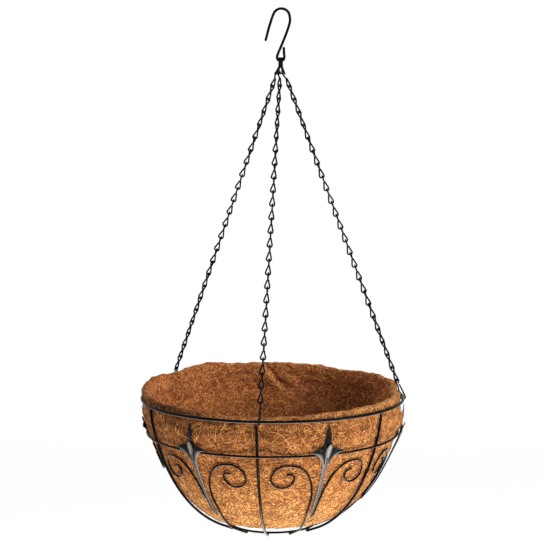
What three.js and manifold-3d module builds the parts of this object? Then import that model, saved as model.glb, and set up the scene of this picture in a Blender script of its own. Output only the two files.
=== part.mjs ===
// Hanging basket: a wrought-look wire bowl with a coir liner, hung by three jack chains from an S-hook.
// Units are millimetres, +Z is up, and the front of the basket faces -Y.
// The origin is the inside of the hook's crown, where whatever carries the basket bears on it.
import * as THREE from "three";
import { mergeVertices } from "three/addons/utils/BufferGeometryUtils.js";
import Module from "manifold-3d";

const wasm = await Module();
wasm.setup();

// ---- driving dimensions ----
const GAP = 0.3; // clearance between pieces that touch or are welded
const RIM_R = 178; // rim wire's centreline: a 14 inch basket
const RIM_WIRE = 4.5; // wire diameters
const MIDDLE_WIRE = 3.1;
const BASE_WIRE = 3.0;
const RIB_WIRE = 3.5;
const SCROLL_WIRE = 2.5;
const HOOK_WIRE = 3.2;
const CHAIN_WIRE = 1.9;
const CLIP_WIRE = 1.9;
const HANG = 521.9; // hook's crown down to the rim plane
const AXIS_X = -11.2; // basket's axis, from the hook's crown
const BOWL_TOP_R = 176; // rib centreline at the rim
const BOWL_H = 183; // depth at which the bowl's curve closes
const BOWL_P = 1.5; // exponents of the bowl's curve
const BOWL_Q = 0.365;
const MIDDLE_Z = -46; // heights of the rings from the rim
const BASE_Z = -174;
const BASE_R = 59;
const RIBS = 6;
const RIB_FIRST = -6.6; // degrees from the front, towards +X
const LINER_WALL = 9;
const LINER_FLOOR_Z = -166;
const CHAIN_AZIMUTHS = [-5.3, 89, -125.3]; // front, right, back left: each clip beside its rib
const LINKS = 24; // links of a chain below its top link
const SEGMENTS = 5; // nodes that those links are split into
const HOOKING = 2.2; // distance between the crowns of two links that hang in each other
const CLIP_LEN = 24; // rim wire's centre to the lowest link's crown

// ---- helpers ----
const V = (x, y, z) => new THREE.Vector3(x, y, z);
const rad = THREE.MathUtils.degToRad;

const paint = (color, roughness, metalness) =>
  new THREE.MeshStandardMaterial({ color, roughness, metalness });
const BLACK_WIRE = paint(0x1c1b1a, 0.5, 0.55);
const BLACK_CHAIN = paint(0x262524, 0.4, 0.7);
const BLACK_LEAF = paint(0x222324, 0.45, 0.6);
const COIR = paint(0xb5793a, 0.95, 0);

const basket = new THREE.Group(); // everything measured from the rim's centre
basket.position.set(AXIS_X, 0, -HANG);
const hanging = new THREE.Group(); // everything measured from the hook's crown
const part = new THREE.Group().add(basket, hanging);

function addMesh(group, name, geometry, material) {
  const mesh = new THREE.Mesh(geometry, material);
  mesh.name = name;
  group.add(mesh);
}

// A closed geometry as a solid that can be joined or cut.
function solid(geometry) {
  const g = geometry.clone();
  g.deleteAttribute("normal");
  g.deleteAttribute("uv");
  const merged = mergeVertices(g, 1e-4);
  return new wasm.Manifold(
    new wasm.Mesh({
      numProp: 3,
      vertProperties: merged.attributes.position.array,
      triVerts: new Uint32Array(merged.index.array),
    }),
  );
}

function geometryOf(body) {
  const m = body.getMesh();
  const g = new THREE.BufferGeometry();
  g.setAttribute("position", new THREE.BufferAttribute(m.vertProperties, 3));
  g.setIndex(new THREE.BufferAttribute(m.triVerts, 1));
  g.computeVertexNormals();
  return g;
}

const joined = (geometries) =>
  geometryOf(geometries.map(solid).reduce((a, b) => a.add(b)));

function section(diameter, sides) {
  const points = Array.from({ length: sides }, (_, i) => {
    const a = ((i + 0.5) / sides) * 2 * Math.PI;
    return new THREE.Vector2(Math.cos(a), Math.sin(a)).multiplyScalar(diameter / 2);
  });
  return new THREE.Shape(points);
}

// A wire of round section along a curve.
function wire(curve, diameter, steps, sides) {
  const settings = { steps, extrudePath: curve, bevelEnabled: false };
  return new THREE.ExtrudeGeometry(section(diameter, sides), settings);
}

// A curve with a corner at each of its points, for bends that one facet each describes.
class Corners extends THREE.Curve {
  constructor(points) {
    super();
    this.points = points;
  }
  getUtoTmapping(u) {
    return u;
  }
  getPoint(t, target = V()) {
    const last = this.points.length - 1;
    const at = THREE.MathUtils.clamp(t, 0, 1) * last;
    const i = Math.min(Math.floor(at), last - 1);
    return target.lerpVectors(this.points[i], this.points[i + 1], at - i);
  }
}

const bentWire = (points, diameter, sides) =>
  wire(new Corners(points), diameter, points.length - 1, sides);

// Outward direction at an azimuth: 0 is the front (-Y), 90 the right (+X).
const outward = (azimuth) => V(Math.sin(rad(azimuth)), -Math.cos(rad(azimuth)), 0);

// ---- the bowl's curve ----
const bowlR = (z) =>
  z > 0 ? BOWL_TOP_R : BOWL_TOP_R * (1 - (-z / BOWL_H) ** BOWL_P) ** BOWL_Q;

// Points down the bowl's curve, evenly spaced, from the rim to the base ring's height.
const BOWL_CURVE = new THREE.CatmullRomCurve3(
  Array.from({ length: 81 }, (_, i) => {
    const z = (BASE_Z - 0.5) * Math.sin(((i / 80) * Math.PI) / 2);
    return V(bowlR(z), 0, z);
  }),
);
BOWL_CURVE.arcLengthDivisions = 400;
const BOWL_LENGTH = BOWL_CURVE.getLength();

// A point given by its azimuth, its distance down the curve, and its height over the surface.
function onBowl(azimuth, across, down, out) {
  const u = THREE.MathUtils.clamp(down / BOWL_LENGTH, 0, 1);
  const p = BOWL_CURVE.getPointAt(u);
  const t = BOWL_CURVE.getTangentAt(u);
  const spare = down - u * BOWL_LENGTH; // past either end the surface runs on straight
  const r = p.x - t.z * out + t.x * spare;
  const z = p.z + t.x * out + t.z * spare;
  const side = rad(azimuth) + across / Math.max(p.x, 40);
  return V(Math.sin(side) * r, -Math.cos(side) * r, z);
}

// Wraps a flat piece, drawn as (across, down, out), onto the bowl at an azimuth.
function wrapped(geometry, azimuth) {
  const g = geometry.clone();
  const p = g.attributes.position;
  for (let i = 0; i < p.count; i++) {
    const q = onBowl(azimuth, p.getX(i), p.getY(i), p.getZ(i));
    p.setXYZ(i, q.x, q.y, q.z);
  }
  g.index.array.reverse(); // the wrap turns the piece over, so its faces are turned back
  return g;
}

// ---- wire frame ----
function ring(radius, diameter, z, around, sides) {
  const g = new THREE.TorusGeometry(radius, diameter / 2, sides, around);
  return g.translate(0, 0, z);
}

const MIDDLE_R = bowlR(MIDDLE_Z) + (RIB_WIRE + MIDDLE_WIRE) / 2 + GAP;

// The foot of a wire: it wraps the base ring from outside to underneath.
function footPoints(diameter, fromDeg, toDeg, steps) {
  const reach = (BASE_WIRE + diameter) / 2 + 2 * GAP;
  return Array.from({ length: steps + 1 }, (_, i) => {
    const a = rad(fromDeg + ((toDeg - fromDeg) * i) / steps);
    return [BASE_R + reach * Math.cos(a), BASE_Z + reach * Math.sin(a)];
  });
}

// A rib runs from under the rim wire, down inside the middle ring, and under the base ring.
function rib(azimuth) {
  const top = -(RIM_WIRE / 2 + GAP);
  const bottom = BASE_Z + 3; // where the foot's bend begins
  const out = outward(azimuth);
  const down = Array.from({ length: 13 }, (_, i) => {
    const z = top + (bottom - top) * Math.sin(((i / 12) * Math.PI) / 2);
    return [bowlR(z), z];
  });
  const points = [...down, ...footPoints(RIB_WIRE, -50, -112, 2)];
  return bentWire(points.map(([r, z]) => out.clone().multiplyScalar(r).setZ(z)), RIB_WIRE, 6);
}

// ---- scrolls, drawn flat beside the spear's axis ----
const CURL_ACROSS = 48.5; // curl's centre
const CURL_DOWN = 79;
const CURL_R = 18;
const LEG_ACROSS = 5.2; // leg's distance from the spear's axis
const LEG_TURN = 143; // where the leg begins to bow out
const LEG_END = 154; // a short leg ends here, behind the spear's point
const BOW_POWER = 2 / 2.45; // the leg bows out along a superellipse, squarer than a circle

function scrollPoints(isLong) {
  const width = CURL_ACROSS - LEG_ACROSS;
  const height = LEG_TURN - (CURL_DOWN - CURL_R);
  const bow = Array.from({ length: 8 }, (_, i) => {
    const a = ((i / 8) * Math.PI) / 2;
    const x = Math.cos(a) ** BOW_POWER;
    const y = Math.sin(a) ** BOW_POWER;
    return V(CURL_ACROSS - width * x, LEG_TURN - height * y, 0);
  });
  const curl = Array.from({ length: 13 }, (_, i) => {
    const t = i / 12;
    const a = -Math.PI / 2 + t * rad(328);
    const r = CURL_R * (1 - 0.12 * t - 0.16 * t ** 3 - 0.45 * t ** 6);
    return V(CURL_ACROSS + r * Math.cos(a), CURL_DOWN + r * Math.sin(a), 0);
  });
  const leg = isLong
    ? [V(0, 193, 0), V(0.4, 180, 0), V(1.8, 166, 0), V(3.6, LEG_END, 0)]
    : [V(3.2, LEG_END, 0)];
  return [...leg, ...bow, ...curl];
}

// A long scroll's foot wraps the base ring; a short one stops behind the spear's point.
function scroll(azimuth, side, isLong) {
  const flat = scrollPoints(isLong).map((p) => onBowl(azimuth, side * p.x, p.y, 0));
  if (!isLong) return bentWire(flat, SCROLL_WIRE, 4);
  const out = outward(azimuth);
  const foot = footPoints(SCROLL_WIRE, -140, -50, 3);
  const start = foot.map(([r, z]) => out.clone().multiplyScalar(r).setZ(z));
  return bentWire([...start, ...flat], SCROLL_WIRE, 4);
}

// ---- spears: a pressed tulip of four petals on a long pointed stem ----
const PETAL_OUT = 6.8; // petals' height over the bowl, where they cross outside the middle ring

// A leaf of even thickness along rows of [across, down, out, half width].
function leaf(rows, thickness) {
  const last = rows.length - 1;
  const shape = new THREE.BoxGeometry(1, 1, 1, 1, last, 1);
  const p = shape.attributes.position;
  for (let i = 0; i < p.count; i++) {
    const row = Math.round((p.getY(i) + 0.5) * last);
    const [x, y, z, w] = rows[row];
    const [before, after] = [rows[Math.max(row - 1, 0)], rows[Math.min(row + 1, last)]];
    const along = new THREE.Vector2(after[0] - before[0], after[1] - before[1]).normalize();
    const half = Math.sign(p.getX(i)) * w;
    const lift = Math.sign(p.getZ(i)) * (thickness / 2);
    p.setXYZ(i, x + along.y * half, y - along.x * half, z + lift);
  }
  return shape;
}

const STEM_TOP = 36;
const STEM_END = 151;

function stem() {
  const profile = [
    [0, STEM_TOP], [3.6, 38], [4.4, 44], [2.9, 52], [2.6, 86], [1.7, 126], [0, STEM_END],
  ].map(([r, y]) => new THREE.Vector2(r, y));
  const g = new THREE.LatheGeometry(profile, 6).scale(1, 1, 0.5);
  const p = g.attributes.position;
  for (let i = 0; i < p.count; i++) {
    const lift = THREE.MathUtils.mapLinear(p.getY(i), STEM_TOP, STEM_END, PETAL_OUT + 0.9, 4);
    p.setZ(i, p.getZ(i) + lift);
  }
  return g;
}

function sidePetal(side) {
  const rows = Array.from({ length: 6 }, (_, i) => {
    const t = i / 5;
    const a = t * rad(125);
    const reach = 14 * (1 - Math.cos(a)) + 1;
    return [side * reach, 42 - 15 * Math.sin(a), PETAL_OUT + 1 + 2.5 * t, 4.2 - 3.1 * t];
  });
  return leaf(rows, 1.6);
}

function spear(azimuth) {
  const back = leaf([
    [0, 4, PETAL_OUT - 3, 0.5], [0, 15, PETAL_OUT - 2, 3], [0, 28, PETAL_OUT - 0.6, 5],
    [0, 37, PETAL_OUT, 4.8], [0, 44, PETAL_OUT, 2.6],
  ], 1.4);
  const front = leaf([
    [0, 26, PETAL_OUT + 6, 1.2], [0, 31, PETAL_OUT + 4.6, 4.2], [0, 37, PETAL_OUT + 2.4, 4.4],
    [0, 43, PETAL_OUT + 1.2, 2.4],
  ], 1.4);
  return wrapped(joined([stem(), back, front, sidePetal(1), sidePetal(-1)]), azimuth);
}

// ---- coir liner: a shell that stands in the frame ----
// Height of its cut edge over the rim plane: highest at the back, lowest at the front left.
const edgeZ = (a) =>
  10 + 9 * Math.cos(a - rad(205)) + 1.6 * Math.sin(5 * a + 0.6) + 1.1 * Math.sin(9 * a);

// How far the edge is pressed in where a clip hooks over the rim.
function dent(azimuth, z) {
  const high = THREE.MathUtils.smoothstep(z, -14, 4);
  return CHAIN_AZIMUTHS.reduce((sum, a) => {
    const off = ((azimuth - a + 540) % 360) - 180;
    return sum + 8 * high * Math.exp(-((off / 9) ** 2));
  }, 0);
}

function linerOuterR(z) {
  if (z > 0) return 173.2 - 0.17 * z;
  return Math.min(173.2, bowlR(z - 2.7) - RIB_WIRE / 2 - 0.8);
}

function liner() {
  const rows = 7;
  const profile = [new THREE.Vector2(0, 0)];
  for (let i = 0; i <= rows; i++) profile.push(new THREE.Vector2(1, i)); // outside, going up
  for (let i = rows; i >= 0; i--) profile.push(new THREE.Vector2(2, i)); // inside, going down
  profile.push(new THREE.Vector2(0, 1));
  const g = new THREE.LatheGeometry(profile, 40).rotateX(Math.PI / 2);
  const p = g.attributes.position;
  for (let i = 0; i < p.count; i++) {
    const kind = Math.round(Math.hypot(p.getX(i), p.getY(i)));
    const row = Math.round(p.getZ(i));
    if (kind === 0) {
      p.setXYZ(i, 0, 0, LINER_FLOOR_Z + (row ? LINER_WALL : 0));
      continue;
    }
    const a = Math.atan2(p.getX(i), -p.getY(i));
    const azimuth = THREE.MathUtils.radToDeg(a);
    const t = 1 - (1 - row / rows) ** 1.5;
    const wall = kind === 2 ? LINER_WALL : 0;
    const z = THREE.MathUtils.lerp(LINER_FLOOR_Z + wall, edgeZ(a), t);
    const r = linerOuterR(z - wall * (1 - t)) - dent(azimuth, z) - wall;
    p.setXYZ(i, Math.sin(a) * r, -Math.cos(a) * r, z);
  }
  return g;
}

// ---- hook ----
const EYE_Z = -66.6; // centreline of the eye's flat bottom
const EYE_X = -0.3;
const EYE_HALF = 4.85; // half the eye's width, to the wire's centreline

function hook() {
  const crown = (deg) =>
    V(0.6 + 11.2 * Math.cos(rad(deg)), 0, HOOK_WIRE / 2 + 11.2 * (Math.sin(rad(deg)) - 1));
  const points = [
    V(-20.3, 0, -39.7), V(-16.4, 0, -24.8), V(-12.7, 0, -13),
    ...[150, 120, 90, 60, 30, 0].map(crown),
    V(11.7, 0, -17), V(7.2, 0, -31), V(1.1, 0, -46), V(-3.2, 0, -56),
    V(EYE_X - EYE_HALF, 0, -62), V(EYE_X - EYE_HALF + 0.8, 0, -65.4), V(EYE_X - 2.4, 0, EYE_Z),
    V(EYE_X + 2.4, 0, EYE_Z), V(EYE_X + EYE_HALF - 0.8, 0, -65.4), V(EYE_X + EYE_HALF, 0, -62),
    V(4.1, 0, -56), V(3.9, 0, -50.3),
  ];
  return wire(new THREE.CatmullRomCurve3(points), HOOK_WIRE, 38, 6);
}

// ---- jack chain ----
// Each link is one wire bent to a figure of eight with its two loops a quarter turn apart.
// Loops are drawn as [across, along] from the waist.
const LOOP_HALF = 2.5;
const CROWN_HALF = 1.5;
const TOP_LOOP = 8.5; // eye's wire to the top link's waist

const loopPoints = (length) => [
  [1, 0.9], [LOOP_HALF, length - 3.9], [CROWN_HALF, length],
  [-CROWN_HALF, length], [-LOOP_HALF, length - 3.9], [-1, 0.9],
];

// Frame of a chain: down along it, side across it (level), out away from the basket's axis.
function chainFrame(from, to) {
  const down = to.clone().sub(from).normalize();
  const side = V(0, 0, 1).cross(V(down.x, down.y, 0)).normalize();
  return { from, to, down, side, out: down.clone().cross(side).negate() };
}

// An open link has no inner leg on its upper loop.
function linkWire(frame, waist, upper, lower, isOpen) {
  const place = (axis, across, along) =>
    waist.clone().addScaledVector(axis, across).addScaledVector(frame.down, along);
  const turn = isOpen ? -1 : 1;
  const up = loopPoints(upper).slice(isOpen ? 2 : 0);
  const path = [
    ...up.map(([x, y]) => place(frame.out, turn * x, -y)),
    ...loopPoints(lower).map(([x, y]) => place(frame.side, x, y)),
  ];
  return bentWire(path, CHAIN_WIRE, 4);
}

// The links' waists are evenly spaced from the top link's waist, number 0, to the clip.
function strandLayout(frame) {
  const length = frame.to.distanceTo(frame.from);
  const pitch = (length - CLIP_LEN - HOOKING / 2) / (LINKS + 0.5);
  const loop = (pitch + HOOKING) / 2;
  const waist = (i) => frame.from.clone().addScaledVector(frame.down, i * pitch);
  return { loop, waist };
}

// One node of a strand: its links are fused where their crowns meet.
function strand(frame, from, to) {
  const { loop, waist } = strandLayout(frame);
  const fuse = 1.4; // how far a crown is drawn in, so that it runs into its neighbour's
  const links = [];
  for (let i = from; i <= to; i++) {
    const upper = i === from ? loop : loop - fuse;
    links.push(linkWire(frame, waist(i), upper, loop, i === 1));
  }
  return joined(links);
}

// The top link: a wide loop round the hook's eye, and a loop that carries the chain.
function topLink(frame, eye, upper) {
  const reach = (HOOK_WIRE + CHAIN_WIRE) / 2 + GAP;
  const wide = reach + 0.25;
  const place = (across, along) => V(eye.x, 0, eye.z)
    .add(V(0, Math.cos(upper), Math.sin(upper)).multiplyScalar(across))
    .add(V(0, Math.sin(upper), -Math.cos(upper)).multiplyScalar(along));
  const { loop, waist } = strandLayout(frame);
  const w = waist(0);
  const low = loopPoints(loop).map(([x, y]) =>
    w.clone().addScaledVector(frame.side, x).addScaledVector(frame.down, y));
  const path = [
    place(1.1, TOP_LOOP - 1.6), place(wide, 1.2), place(1.7, -reach),
    place(-1.7, -reach), place(-wide, 1.2), place(-1, TOP_LOOP - 0.9),
    ...low,
  ];
  return bentWire(path, CHAIN_WIRE, 5);
}

// A clip: a long hairpin hooked round the rim wire, closed to a small eye on the lowest link.
function clip(frame, rim) {
  const hug = (RIM_WIRE + CLIP_WIRE) / 2 + GAP;
  const place = (x, y) =>
    rim.clone().addScaledVector(frame.out, x).addScaledVector(frame.down, -y);
  const bend = [0, 45, 90, 135, 180].map((deg) =>
    place(hug * Math.cos(rad(deg)), -hug * Math.sin(rad(deg))));
  const top = CLIP_LEN + HOOKING;
  const path = [
    place(-1.0, CLIP_LEN - 3.4), place(-2.5, CLIP_LEN - 0.6), place(-1.5, top),
    place(1.5, top), place(2.5, CLIP_LEN - 0.6), place(1.2, CLIP_LEN - 4.2),
    ...bend, place(-1.3, CLIP_LEN - 6.2),
  ];
  return bentWire(path, CLIP_WIRE, 6);
}

// ---- assembly ----
function addFrame() {
  addMesh(basket, "rim_ring", ring(RIM_R, RIM_WIRE, 0, 60, 6), BLACK_WIRE);
  addMesh(basket, "middle_ring", ring(MIDDLE_R, MIDDLE_WIRE, MIDDLE_Z, 54, 5), BLACK_WIRE);
  addMesh(basket, "base_ring", ring(BASE_R, BASE_WIRE, BASE_Z, 30, 5), BLACK_WIRE);
  for (let i = 0; i < RIBS; i++) {
    const azimuth = RIB_FIRST + (i * 360) / RIBS;
    const between = azimuth + 180 / RIBS;
    addMesh(basket, `rib_${i + 1}`, rib(azimuth), BLACK_WIRE);
    const isEven = i % 2 === 0; // the long scrolls flank every other rib
    addMesh(basket, `scroll_left_${i + 1}`, scroll(between, -1, isEven), BLACK_WIRE);
    addMesh(basket, `scroll_right_${i + 1}`, scroll(between, 1, !isEven), BLACK_WIRE);
    addMesh(basket, `spear_${i + 1}`, spear(between), BLACK_LEAF);
  }
}

function addChain(k) {
  const azimuth = CHAIN_AZIMUTHS[k];
  const rim = outward(azimuth).multiplyScalar(RIM_R).add(basket.position);
  const eye = V(EYE_X + [0, 2, -2][k], 0, EYE_Z);
  const tilt = [-0.36, 0, 0.2][k]; // lean of the top link's upper loop, towards its chain
  const knee = V(eye.x, Math.sin(tilt) * TOP_LOOP, EYE_Z - Math.cos(tilt) * TOP_LOOP);
  const frame = chainFrame(knee, rim);
  addMesh(hanging, `top_link_${k + 1}`, topLink(frame, eye, tilt), BLACK_CHAIN);
  for (let s = 0; s < SEGMENTS; s++) {
    const first = 1 + Math.round((s * LINKS) / SEGMENTS);
    const last = Math.round(((s + 1) * LINKS) / SEGMENTS);
    addMesh(hanging, `chain_${k + 1}_${s + 1}`, strand(frame, first, last), BLACK_CHAIN);
  }
  addMesh(hanging, `clip_${k + 1}`, clip(frame, rim), BLACK_CHAIN);
}

addFrame();
addMesh(basket, "coir_liner", liner(), COIR);
addMesh(hanging, "hook", hook(), BLACK_WIRE);
CHAIN_AZIMUTHS.forEach((_, k) => addChain(k));

export default part;
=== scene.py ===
"""Hanging basket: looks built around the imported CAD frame. Metres, +Z up, front towards -Y.

Shapes are worked out in millimetres and scaled by MM when their meshes are made."""
import math

import bmesh
import bpy
import numpy as np
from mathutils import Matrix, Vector, noise


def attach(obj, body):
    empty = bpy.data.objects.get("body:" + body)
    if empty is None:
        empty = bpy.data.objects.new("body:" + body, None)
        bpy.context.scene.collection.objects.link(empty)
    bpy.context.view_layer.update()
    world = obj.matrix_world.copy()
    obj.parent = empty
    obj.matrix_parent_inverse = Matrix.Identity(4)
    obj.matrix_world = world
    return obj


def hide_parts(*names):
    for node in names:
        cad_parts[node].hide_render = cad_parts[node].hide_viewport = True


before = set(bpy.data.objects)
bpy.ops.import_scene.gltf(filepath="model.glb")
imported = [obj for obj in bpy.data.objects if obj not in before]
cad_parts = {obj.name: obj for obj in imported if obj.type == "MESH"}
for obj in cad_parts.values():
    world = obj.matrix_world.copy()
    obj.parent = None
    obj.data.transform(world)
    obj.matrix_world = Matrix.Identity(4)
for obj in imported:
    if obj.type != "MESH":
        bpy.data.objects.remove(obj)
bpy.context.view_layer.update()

MM = 0.001

# ---- driving dimensions, in millimetres from the rim's centre unless said otherwise ----
HANG = 521.9  # hook's crown (the frame's origin) down to the rim plane
AXIS_X = -11.2  # basket's axis, from the hook's crown
RIM_R, RIM_WIRE = 178.0, 3.9
MIDDLE_Z, MIDDLE_WIRE = -46.0, 3.1
BASE_R, BASE_Z, BASE_WIRE = 59.0, -174.0, 3.0
RIB_WIRE, SCROLL_WIRE, HOOK_WIRE = 3.5, 2.5, 3.6
CHAIN_WIRE, CAD_CHAIN_WIRE, CLIP_WIRE = 2.3, 1.9, 2.1
BOWL_TOP_R, BOWL_H, BOWL_P, BOWL_Q = 176.0, 183.0, 1.5, 0.365
RIBS, RIB_FIRST = 6, -6.6
LINER_WALL, LINER_FLOOR = 9.0, -166.0
CHAIN_AZIMUTHS = (-5.3, 89.0, -125.3)
LINKS, SEGMENTS, CLIP_LEN = 24, 5, 24.0
HOOKING = 2.2  # crowns of two hooked links, in the CAD frame
EYE_X, EYE_Z, EYE_HALF, TOP_LOOP = -0.3, -66.6, 4.85, 8.5
EYE_PLACES, TOP_TILT = (0, 2, -2), (-0.36, 0.0, 0.2)  # each top link's place in the eye, and its lean
TO_FRAME = np.array([AXIS_X, 0.0, -HANG])  # rim centre in the frame

rng = np.random.default_rng(14)


# ---- camera, at the photograph's angle ----
def add_camera():
    data = bpy.data.cameras.new("camera")
    data.sensor_width = 36.0
    data.lens = 99.8
    data.clip_end = 50.0
    cam = bpy.data.objects.new("camera", data)
    cam.location = (-0.0119, -2.034, -0.1469)
    cam.rotation_euler = (math.pi / 2 - 0.1, 0.0, 0.0)
    bpy.context.scene.collection.objects.link(cam)
    bpy.context.scene.camera = cam


add_camera()


# ---- mesh helpers ----
def unit(v):
    v = np.asarray(v, float)
    return v / np.linalg.norm(v, axis=-1, keepdims=True)


def outward(azimuth):
    a = math.radians(azimuth)
    return np.array([math.sin(a), -math.cos(a), 0.0])


def smooth(points, per):
    """A Catmull-Rom curve through the points, with per samples to each span."""
    p = np.asarray(points, float)
    p = np.vstack([2 * p[0] - p[1], p, 2 * p[-1] - p[-2]])
    out = []
    for i in range(1, len(p) - 2):
        for t in np.arange(per) / per:
            a, b, c, d = p[i - 1 : i + 3]
            out.append(0.5 * (2 * b + (c - a) * t + (2 * a - 5 * b + 4 * c - d) * t**2
                              + (3 * b - a - 3 * c + d) * t**3))
    out.append(p[-2])
    return np.array(out)


# A wire's rounded end: how far out its two last rings lie, and their radii, in wire diameters.
END_REACH, END_RADIUS = (0.22, 0.42), (0.42, 0.2)


def with_rounded_ends(p, radius, diameter):
    for _ in range(2):  # the far end, then the near one
        away = unit(p[-1] - p[-2])
        p = np.vstack([p, [p[-1] + away * diameter * reach for reach in END_REACH]])[::-1]
        radius = np.concatenate([radius, [diameter * r for r in END_RADIUS]])[::-1]
    return p, radius


def tube(points, diameter, sides=12, closed=False, wobble=0.0, rounded=True):
    """Vertices and faces of a round wire along points. Open wires get flat or rounded ends."""
    p = np.asarray(points, float)
    radius = np.full(len(p), diameter / 2)
    if rounded and not closed:
        p, radius = with_rounded_ends(p, radius, diameter)
    n = len(p)
    if closed:
        tangent = unit(np.roll(p, -1, 0) - np.roll(p, 1, 0))
    else:
        tangent = unit(np.gradient(p, axis=0))
    normal = np.cross(tangent[0], [0.0, 0.0, 1.0])
    if np.linalg.norm(normal) < 0.2:
        normal = np.cross(tangent[0], [0.0, 1.0, 0.0])
    normals = [unit(normal)]
    for t in tangent[1:]:
        normals.append(unit(normals[-1] - t * (normals[-1] @ t)))
    normals = np.array(normals)
    binormals = np.cross(tangent, normals)
    turn = np.arange(sides) * 2 * math.pi / sides
    ring = (np.cos(turn)[None, :, None] * normals[:, None]
            + np.sin(turn)[None, :, None] * binormals[:, None])
    if wobble:
        i = np.arange(n)
        radius = radius * (1 + wobble * np.sin(i * 0.7 + 3 * np.sin(i * 0.13)))
    verts = (p[:, None] + ring * radius[:, None, None]).reshape(-1, 3)
    faces = []
    for i in range(n if closed else n - 1):
        j = (i + 1) % n
        for k in range(sides):
            m = (k + 1) % sides
            faces.append((i * sides + k, i * sides + m, j * sides + m, j * sides + k))
    if not closed:
        faces.append(tuple(range(sides))[::-1])
        faces.append(tuple((n - 1) * sides + k for k in range(sides)))
    return verts, faces


def merged(parts):
    """One list of vertices and one of faces from several."""
    verts, faces, base = [], [], 0
    for v, f in parts:
        verts.append(v)
        faces += [tuple(i + base for i in face) for face in f]
        base += len(v)
    return np.vstack(verts), faces


def piece(name, shape, material, body, replaces=(), local=True):
    """A smooth mesh object in the frame. Local shapes are in mm from the rim's centre."""
    verts, faces = shape
    verts = np.asarray(verts, float) + (TO_FRAME if local else 0.0)
    mesh = bpy.data.meshes.new(name)
    mesh.from_pydata((verts * MM).tolist(), [], faces)
    mesh.update()
    mesh.shade_smooth()
    mesh.materials.append(material)
    obj = bpy.data.objects.new(name, mesh)
    bpy.context.scene.collection.objects.link(obj)
    bm = bmesh.new()
    bm.from_mesh(mesh)
    bmesh.ops.recalc_face_normals(bm, faces=bm.faces)
    bm.to_mesh(mesh)
    bm.free()
    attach(obj, body)
    if replaces:
        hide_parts(*replaces)
    return obj


# ---- the bowl's curve ----
def bowl_r(z):
    """The bowl's radius at a height."""
    z = np.minimum(np.asarray(z, float), 0.0)
    return BOWL_TOP_R * np.clip(1 - (-z / BOWL_H) ** BOWL_P, 0, 1) ** BOWL_Q


# The curve from the rim to just under the base ring, its length so far and its tangent.
CURVE_Z = (BASE_Z - 0.5) * np.sin(np.linspace(0, math.pi / 2, 400))
CURVE_R = bowl_r(CURVE_Z)
CURVE_S = np.concatenate([[0], np.cumsum(np.hypot(np.diff(CURVE_Z), np.diff(CURVE_R)))])
CURVE_TR, CURVE_TZ = np.gradient(CURVE_R, CURVE_S), np.gradient(CURVE_Z, CURVE_S)


def on_bowl(azimuth, across, down, out):
    """Points given by azimuth, distance across, distance down the curve and height over it."""
    across, down, out = np.broadcast_arrays(*(np.asarray(v, float) for v in (across, down, out)))
    d = np.clip(down, 0, CURVE_S[-1])
    spare = down - d  # what lies past the curve's end goes straight on
    r0, z0 = np.interp(d, CURVE_S, CURVE_R), np.interp(d, CURVE_S, CURVE_Z)
    tr, tz = np.interp(d, CURVE_S, CURVE_TR), np.interp(d, CURVE_S, CURVE_TZ)
    size = np.hypot(tr, tz)
    tr, tz = tr / size, tz / size
    r = r0 - tz * out + tr * spare
    z = z0 + tr * out + tz * spare
    a = math.radians(azimuth) + across / np.maximum(r0, 40.0)
    return np.stack([np.sin(a) * r, -np.cos(a) * r, z], -1)


# ---- materials ----
def node_material(name):
    mat = bpy.data.materials.new(name)
    mat.use_nodes = True
    nt = mat.node_tree
    return mat, nt, nt.nodes["Principled BSDF"]


def add(nt, kind, **values):
    """A new node, with each value given to the socket or else the setting of that name."""
    node = nt.nodes.new(kind)
    for key, value in values.items():
        if key in node.inputs:
            node.inputs[key].default_value = value
        else:
            setattr(node, key, value)
    return node


def link(nt, a, b):
    nt.links.new(a, b)


def ramp(nt, fac, stops):
    """A colour ramp on fac, with stops of (position, colour)."""
    node = nt.nodes.new("ShaderNodeValToRGB")
    while len(node.color_ramp.elements) < len(stops):
        node.color_ramp.elements.new(0.5)
    for e, (at, color) in zip(node.color_ramp.elements, stops):
        e.position = at
        e.color = (*color, 1.0)
    link(nt, fac, node.inputs["Fac"])
    return node


def grey(v):
    return (v, v, v)


def set_or_link(nt, socket, v):
    """Gives a socket a number, a colour or another node's output."""
    if isinstance(v, (int, float)):
        socket.default_value = v
    elif isinstance(v, tuple):
        socket.default_value = (*v, 1.0)
    else:
        link(nt, v, socket)


def math_node(nt, op, a, b):
    node = nt.nodes.new("ShaderNodeMath")
    node.operation = op
    for socket, v in zip(node.inputs, (a, b)):
        set_or_link(nt, socket, v)
    return node.outputs[0]


def mix(nt, fac, a, b, kind="MIX"):
    node = nt.nodes.new("ShaderNodeMix")
    node.data_type, node.blend_type = "RGBA", kind
    for i, v in ((0, fac), (6, a), (7, b)):  # the colour mix's own sockets
        set_or_link(nt, node.inputs[i], v)
    return node.outputs[2]


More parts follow.
